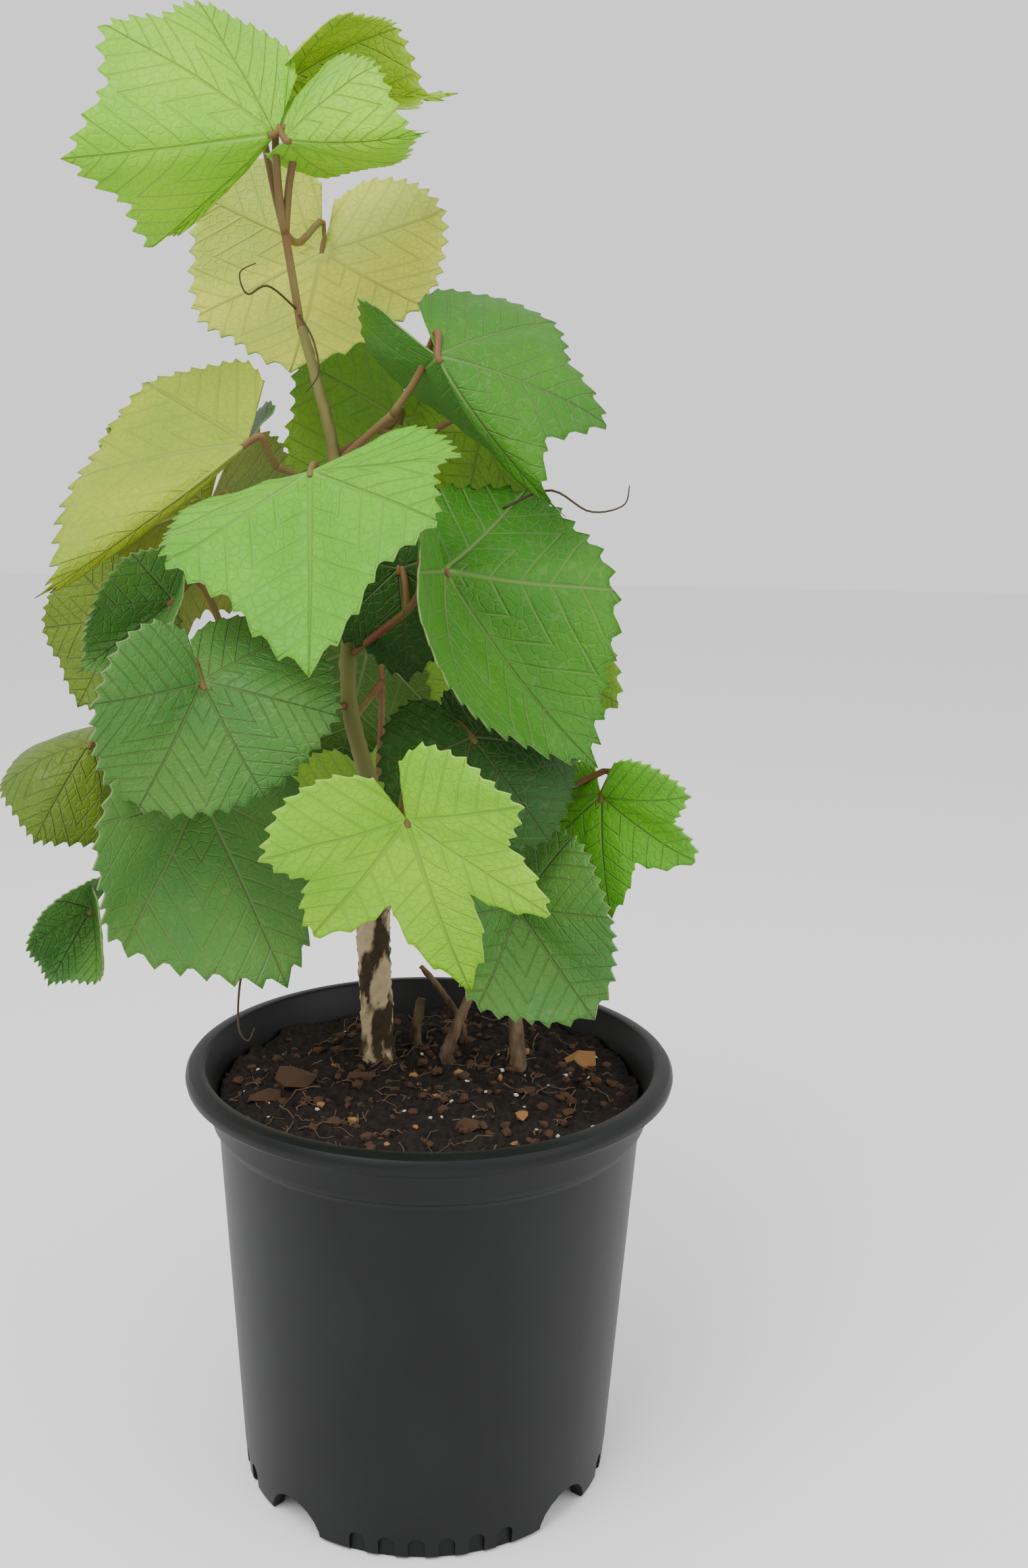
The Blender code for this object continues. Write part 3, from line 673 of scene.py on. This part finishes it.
def pot_profile():
    """The pot's section from the floor's top, over the lip and down to the foot ring."""
    inner_foot = lerp(BASE_RADIUS, WALL_TOP_RADIUS, FLOOR_TOP / STEP_HEIGHT) - WALL
    lip = POT_HEIGHT
    return (
        (0.0, FLOOR_TOP), (inner_foot, FLOOR_TOP), (WALL_TOP_RADIUS - WALL, STEP_HEIGHT - 2.0),
        (STEP_RADIUS - WALL, STEP_HEIGHT + 2.0), (STEP_RADIUS, lip - 6.8),
        (STEP_RADIUS + 1.0, lip - 5.5), (LIP_INNER - 0.3, lip - 0.9),
        (LIP_INNER + 0.3, lip - 0.3), (LIP_INNER + 1.2, lip), (RIM_RADIUS - 3.0, lip - 0.1),
        (RIM_RADIUS - 1.2, lip - 0.8), (RIM_RADIUS - 0.2, lip - 2.2), (RIM_RADIUS, lip - 3.6),
        (RIM_RADIUS - 0.4, lip - 5.4), (RIM_RADIUS - 1.6, lip - 6.5),
        (STEP_RADIUS + 3.6, lip - 6.2), (STEP_RADIUS + 2.2, lip - 8.4),
        (STEP_RADIUS + 1.4, STEP_HEIGHT + 3.0), (STEP_RADIUS + 0.8, STEP_HEIGHT + 1.2),
        (STEP_RADIUS - 0.2, STEP_HEIGHT + 0.4), (WALL_TOP_RADIUS + 0.3, STEP_HEIGHT - 0.8),
        (WALL_TOP_RADIUS, STEP_HEIGHT - 2.0), (BASE_RADIUS + 0.8, 9.0),
        (BASE_RADIUS + 0.1, 1.0), (BASE_RADIUS - 0.8, 0.0), (BASE_RADIUS - FOOT_RING, 0.0),
        (BASE_RADIUS - FOOT_RING - 1.0, FLOOR_UNDERSIDE), (0.0, FLOOR_UNDERSIDE),
    )


def turned_mesh(profile, sides):
    """A bmesh of revolution from a profile that starts and ends on the axis."""
    shape = bmesh.new()
    verts = [shape.verts.new((r * MM, 0.0, z * MM)) for r, z in profile]
    edges = [shape.edges.new(pair) for pair in zip(verts, verts[1:])]
    bmesh.ops.spin(shape, geom=verts + edges, cent=(0, 0, 0), axis=(0, 0, 1),
                   angle=math.tau, steps=sides, use_merge=True)
    bmesh.ops.remove_doubles(shape, verts=shape.verts[:], dist=MERGE)
    shape.normal_update()
    bmesh.ops.recalc_face_normals(shape, faces=shape.faces[:])
    return shape


def capsule(angle, width, height, depth_from, depth_to, segments):
    """A cutter with a round top that runs along one radius."""
    shape = bmesh.new()
    bmesh.ops.create_circle(shape, cap_ends=True, segments=segments, radius=width / 2.0)
    for vert in shape.verts:
        if vert.co.y < 0.0:
            vert.co.y = -height
    bmesh.ops.translate(shape, verts=shape.verts[:], vec=(0.0, height - width / 2.0, 0.0))
    drawn = bmesh.ops.extrude_face_region(shape, geom=shape.faces[:])
    pulled = [item for item in drawn["geom"] if isinstance(item, bmesh.types.BMVert)]
    bmesh.ops.translate(shape, verts=pulled, vec=(0.0, 0.0, depth_to - depth_from))
    shape.normal_update()
    bmesh.ops.recalc_face_normals(shape, faces=shape.faces[:])
    turn = math.radians(angle)
    outward = Vector((math.cos(turn), math.sin(turn), 0.0))
    sideways = Vector((-math.sin(turn), math.cos(turn), 0.0))
    for vert in shape.verts:
        across, up, out = vert.co
        vert.co = (sideways * across + outward * (out + depth_from)
                   + Vector((0.0, 0.0, up))) * MM
    return mesh_of("cutter", shape)


def foot_cutters():
    """Cutter objects for the arches and flutes of the pot's foot, in a collection."""
    cutters = bpy.data.collections.new("Cutters")
    bpy.context.scene.collection.children.link(cutters)
    for centre in ARCH_CENTRES:
        meshes = [capsule(FRONT + centre, ARCH_WIDTH, ARCH_HEIGHT,
                          BASE_RADIUS - 2.5 * FOOT_RING, BASE_RADIUS + 6.0, 20)]
        first = centre - 45.0 - (FLUTES_IN_GROUP - 1) / 2.0 * FLUTE_PITCH
        for place in range(FLUTES_IN_GROUP):
            meshes.append(capsule(FRONT + first + place * FLUTE_PITCH, FLUTE_WIDTH,
                                  FLUTE_HEIGHT, BASE_RADIUS - FLUTE_DEPTH,
                                  BASE_RADIUS + 6.0, 14))
        for mesh in meshes:
            cutters.objects.link(bpy.data.objects.new("cutter", mesh))
    return cutters


def pot_mesh(sides):
    """The pot's shell with its foot cut."""
    body = bpy.data.objects.new("pot_body", mesh_of("pot_body",
                                                    turned_mesh(pot_profile(), sides)))
    bpy.context.scene.collection.objects.link(body)
    cutters = foot_cutters()
    cut = body.modifiers.new("Foot", "BOOLEAN")
    cut.operation = "DIFFERENCE"
    cut.operand_type = "COLLECTION"
    cut.collection = cutters
    cut.solver = "EXACT"
    bpy.context.view_layer.update()
    graph = bpy.context.evaluated_depsgraph_get()
    mesh = bpy.data.meshes.new_from_object(body.evaluated_get(graph))
    for cutter in list(cutters.objects):
        bpy.data.objects.remove(cutter)
    bpy.data.collections.remove(cutters)
    bpy.data.objects.remove(body)
    mesh.transform(Matrix.Translation(MIDDLE))
    return mesh


# Settings

class VineSettings(bpy.types.PropertyGroup):
    """Fineness of the pieces."""

    pot_sides: IntProperty(name="Pot sides", description="Facets round the pot", default=144,
                           min=24, max=360)
    bark_relief: FloatProperty(name="Bark relief", description="Depth of the bark's relief",
                               default=0.0009, min=0.0, subtype="DISTANCE", unit="LENGTH")


# Operators

class VINE_OT_pot(bpy.types.Operator):
    """Builds the nursery pot"""

    bl_idname = "vine.pot"
    bl_label = "Pot"

    def execute(self, context):
        mesh = pot_mesh(context.scene.vine.pot_sides)
        made = mottled_material("pot_plastic", PLASTIC, tuple(2.1 * c for c in PLASTIC), 26.0,
                                (1, 1, 0.7), 0.46, 0.00005, 0.2)
        piece = finish_piece("pot_shell", mesh, [made], ["pot"])
        mesh.set_sharp_from_angle(angle=math.radians(32))
        return {"FINISHED"}


class VINE_OT_soil(bpy.types.Operator):
    """Builds the soil's crumbly top with its chips, grit and fibres"""

    bl_idname = "vine.soil"
    bl_label = "Soil"

    def execute(self, context):
        chance = random.Random(PLANT_SEED)
        piece = finish_piece("soil_top", soil_mesh(), [
            mottled_material("potting_soil", SOIL_COLOUR, tuple(2.2 * c for c in SOIL_COLOUR),
                             420.0, None, 0.95, 0.0012, 0.12)], ["soil"])
        for kind, colour in CHIP_COLOURS.items():
            shape = bmesh.new()
            for name, (x, y), size in BIG_CHIPS:
                if name == kind:
                    add_chip(shape, chance, x, y, size, 0.35)
            for _ in range({"perlite": 45, "fibre": 170, "bark_chip": 260, "tan_chip": 14}[kind]):
                radius = 68.0 * math.sqrt(chance.random())
                turn = chance.uniform(0, math.tau)
                x, y = radius * math.cos(turn), radius * math.sin(turn)
                if kind == "fibre":
                    add_fibre(shape, chance, x, y)
                else:
                    size = chance.uniform(0.5, 1.1) if kind == "perlite" else \
                        chance.uniform(0.9, 2.8)
                    add_chip(shape, chance, x, y, size, 0.6)
            finish_piece("soil_" + kind, mesh_of(kind, shape),
                         [plain_material(kind, colour, 0.9)], smooth=False)
        return {"FINISHED"}


def soil_height(x, y):
    """Height of the soil's crumbly top, in millimetres."""
    spot = Vector((x * 0.09, y * 0.09, 3.0))
    return SOIL_TOP + 2.6 * noise.fractal(spot, 0.6, 2.3, 6) + 0.9 * noise.noise(spot * 6.0)


def soil_mesh():
    """A closed disc of soil with a crumbly top."""
    shape = bmesh.new()
    bmesh.ops.create_grid(shape, x_segments=150, y_segments=150, size=1.0)
    radius = STEP_RADIUS - WALL - 0.3
    for vert in shape.verts:
        x, y = vert.co.x, vert.co.y
        disc = (x * math.sqrt(1 - y * y / 2) * radius, y * math.sqrt(1 - x * x / 2) * radius)
        vert.co = placed((*disc, soil_height(*disc)))
    drawn = bmesh.ops.extrude_edge_only(shape, edges=[e for e in shape.edges if e.is_boundary])
    skirt = [item for item in drawn["geom"] if isinstance(item, bmesh.types.BMVert)]
    for vert in skirt:
        vert.co.z = (SOIL_TOP - 9.0) * MM
    bmesh.ops.contextual_create(shape, geom=[e for e in shape.edges if e.is_boundary])
    shape.normal_update()
    bmesh.ops.recalc_face_normals(shape, faces=shape.faces[:])
    return mesh_of("soil_top", shape)


def add_chip(shape, chance, x, y, size, flat):
    """A lump of bark or grit lying on the soil."""
    turn = Matrix.Rotation(chance.uniform(0, math.tau), 4, "Z")
    tip = Matrix.Rotation(chance.uniform(-0.4, 0.4), 4, "X")
    grow = Matrix.Diagonal((size, size * chance.uniform(0.5, 0.9), size * flat, 1.0))
    place = Matrix.Translation((x, y, soil_height(x, y) + size * flat * 0.3))
    made = bmesh.ops.create_icosphere(shape, subdivisions=1, radius=1.0,
                                      matrix=place @ turn @ tip @ grow)
    for vert in made["verts"]:
        shove = noise.noise_vector(vert.co * 0.7) * size * 0.35
        vert.co = placed(vert.co + shove)


def add_fibre(shape, chance, x, y):
    """A thin curved root hair on the soil."""
    turn = chance.uniform(0, math.tau)
    length = chance.uniform(3.0, 12.0)
    path = []
    for step in range(5):
        x += math.cos(turn) * length / 4.0
        y += math.sin(turn) * length / 4.0
        turn += chance.uniform(-0.7, 0.7)
        if math.hypot(x, y) > 70.0:
            break
        path.append(Vector((x, y, soil_height(x, y) + chance.uniform(0.3, 1.3))))
    if len(path) > 2:
        add_tube(shape, path, [chance.uniform(0.12, 0.28)] * len(path), 4)


class VINE_OT_limbs(bpy.types.Operator):
    """Builds the trunk, the cane, the dry stubs and the tendrils"""

    bl_idname = "vine.limbs"
    bl_label = "Trunk and canes"

    def execute(self, context):
        relief = context.scene.vine.bark_relief * 1000.0
        bark = mottled_material("bark", BARK_PALE, BARK_DARK, 150.0, (1.0, 1.0, 0.45), 0.85,
                                0.0008, 0.05)
        shape = bmesh.new()
        path = smooth_path(TRUNK.points, 46)
        radii = [lerp(TRUNK.foot, 5.7, min(1.0, i / 7.0)) if i < 30
                 else lerp(5.7, TRUNK.tip, (i - 30) / 15.0) for i in range(46)]
        rings = add_tube(shape, path, radii, 40, relief)
        for vert in rings[-1]:
            vert.co.z += noise.noise(vert.co * 700.0) * 1.6 * MM
        piece = finish_piece("trunk_bark", mesh_of("trunk_bark", shape), [bark], ["trunk"])
        cane = mottled_material("green_cane", CANE_GREEN, CANE_BROWN, 60.0, (1, 1, 0.3), 0.55,
                                0.0002, 0.25)
        self.add_limbs("cane_skin", CANES, cane, ["lower_cane", "upper_cane", "shoot_tip"],
                       "green_cane", relief * 0.3, (0.25, 0.5, 0.75))
        dry = mottled_material("dry_wood", DRY_WOOD, BARK_DARK, 200.0, (1, 1, 0.3), 0.9,
                               0.0005, 0.15)
        self.add_limbs("dry_stub_bark", STUBS, dry,
                       ["dry_stub_left", "dry_stub_middle", "dry_stub_right", "dry_side_stem"],
                       "dry_wood", relief * 0.6, ())
        shape = bmesh.new()
        for points in TENDRILS:
            path = smooth_path(points, 24)
            add_tube(shape, path, [lerp(TENDRIL_RADIUS, 0.2, i / 23) for i in range(24)], 6)
        finish_piece("tendrils", mesh_of("tendrils", shape),
                     [plain_material("tendril", (0.05, 0.035, 0.015), 0.6)])
        return {"FINISHED"}

    def add_limbs(self, name, limbs, material, nodes, slot, relief, knots):
        """One piece of several tapering limbs, thicker at its knots."""
        shape = bmesh.new()
        for limb in limbs:
            count = 12 * (len(limb.points) - 1)
            radii = []
            for index in range(count):
                t = index / (count - 1)
                swell = sum(0.22 * math.exp(-((t - knot) / 0.012) ** 2) for knot in knots)
                radii.append(lerp(limb.foot, limb.tip, t) * (1.0 + swell))
            add_tube(shape, smooth_path(limb.points, count), radii, 20, relief)
        piece = finish_piece(name, mesh_of(name, shape), [material], nodes)


class VINE_OT_foliage(bpy.types.Operator):
    """Builds every mass of leaves on its stalks"""

    bl_idname = "vine.foliage"
    bl_label = "Foliage"

    def execute(self, context):
        stalk_skin = mottled_material("stalk", (0.16, 0.055, 0.03), (0.14, 0.13, 0.035), 45.0,
                                      None, 0.5, 0.0001, 0.2)
        for name, mass in MASSES.items():
            chance = random.Random(name)
            shape = bmesh.new()
            stem = smooth_path((mass.root, Vector(mass.root).lerp(Vector(mass.hub), 0.5),
                                mass.hub), 12)
            add_tube(shape, stem, [STALK_RADIUS] * 12, 10)
            slots = [stalk_skin]
            for index, leaf in enumerate(mass.leaves):
                path = stalk_path(mass.hub, leaf, chance)
                radii = [lerp(STALK_RADIUS, STALK_TIP_RADIUS, i / 15) for i in range(16)]
                add_tube(shape, path, radii, 10)
                add_blade(shape, leaf, len(slots), 1.7 * index + len(name))
                slots += [leaf_material(leaf.tint, False), leaf_material(leaf.tint, True)]
            piece = finish_piece(name + "_foliage", mesh_of(name, shape), slots, [name])
        return {"FINISHED"}


class VINE_OT_stage(bpy.types.Operator):
    """Adds the floor, the lights and the camera of the photo"""

    bl_idname = "vine.stage"
    bl_label = "Stage"

    def execute(self, context):
        shape = bmesh.new()
        bmesh.ops.create_grid(shape, x_segments=1, y_segments=1, size=4.0)
        floor = bpy.data.objects.new("floor", mesh_of("floor", shape))
        context.scene.collection.objects.link(floor)
        floor.location.z = -0.0005
        floor.data.materials.append(plain_material("pale_floor", (0.9, 0.9, 0.9), 0.9))
        world = bpy.data.worlds.new("Studio")
        context.scene.world = world
        world.use_nodes = True
        world.node_tree.nodes["Background"].inputs["Color"].default_value = (1, 1, 1, 1)
        world.node_tree.nodes["Background"].inputs["Strength"].default_value = 1.15
        for name, place, size, power in (("key", (-0.5, -0.7, 1.35), 0.9, 20.0),
                                         ("fill", (0.9, -0.6, 0.8), 1.0, 6.0)):
            lamp = bpy.data.lights.new(name, "AREA")
            lamp.size = size
            lamp.energy = power
            made = bpy.data.objects.new(name, lamp)
            context.scene.collection.objects.link(made)
            made.location = Vector(place)
            aim = Vector((0.0, 0.0, 0.25)) - Vector(place)
            made.rotation_euler = aim.to_track_quat("-Z", "Y").to_euler()
        camera = self.add_camera(context)
        return {"FINISHED"}

    def add_camera(self, context):
        """A camera at the photo's place and angle."""
        lens = bpy.data.cameras.new("camera")
        lens.sensor_fit = "VERTICAL"
        lens.sensor_height = SENSOR
        lens.lens = SENSOR * FOCAL_SHARE
        lens.clip_start = 0.01
        made = bpy.data.objects.new("camera", lens)
        context.scene.collection.objects.link(made)
        place = placed(CAMERA_PLACE)
        turn = (Matrix.Rotation(math.radians(-CAMERA_YAW), 4, "Z")
                @ Matrix.Rotation(math.radians(90.0 - CAMERA_PITCH), 4, "X")
                @ Matrix.Rotation(math.radians(CAMERA_ROLL), 4, "Z"))
        made.matrix_world = Matrix.Translation(place) @ turn
        context.scene.camera = made
        return made


class VINE_PT_panel(bpy.types.Panel):
    """Buttons that build the vine"""

    bl_label = "Potted Grape Vine"
    bl_space_type = "VIEW_3D"
    bl_region_type = "UI"
    bl_category = "Grape Vine"

    def draw(self, context):
        self.layout.prop(context.scene.vine, "pot_sides")
        self.layout.prop(context.scene.vine, "bark_relief")
        for operator in OPERATORS:
            self.layout.operator(operator.bl_idname)


OPERATORS = (VINE_OT_pot, VINE_OT_soil, VINE_OT_limbs, VINE_OT_foliage, VINE_OT_stage)
CLASSES = (VineSettings, *OPERATORS, VINE_PT_panel)


def register():
    """Adds the classes and the settings."""
    for cls in CLASSES:
        bpy.utils.register_class(cls)
    bpy.types.Scene.vine = PointerProperty(type=VineSettings)


def unregister():
    """Removes the classes and the settings."""
    del bpy.types.Scene.vine
    for cls in reversed(CLASSES):
        bpy.utils.unregister_class(cls)


def main():
    """Builds the whole scene."""
    register()
    for operator in OPERATORS:
        group, action = operator.bl_idname.split(".")
        getattr(getattr(bpy.ops, group), action)()
    bpy.context.view_layer.update()


if __name__ == "__main__":
    main()
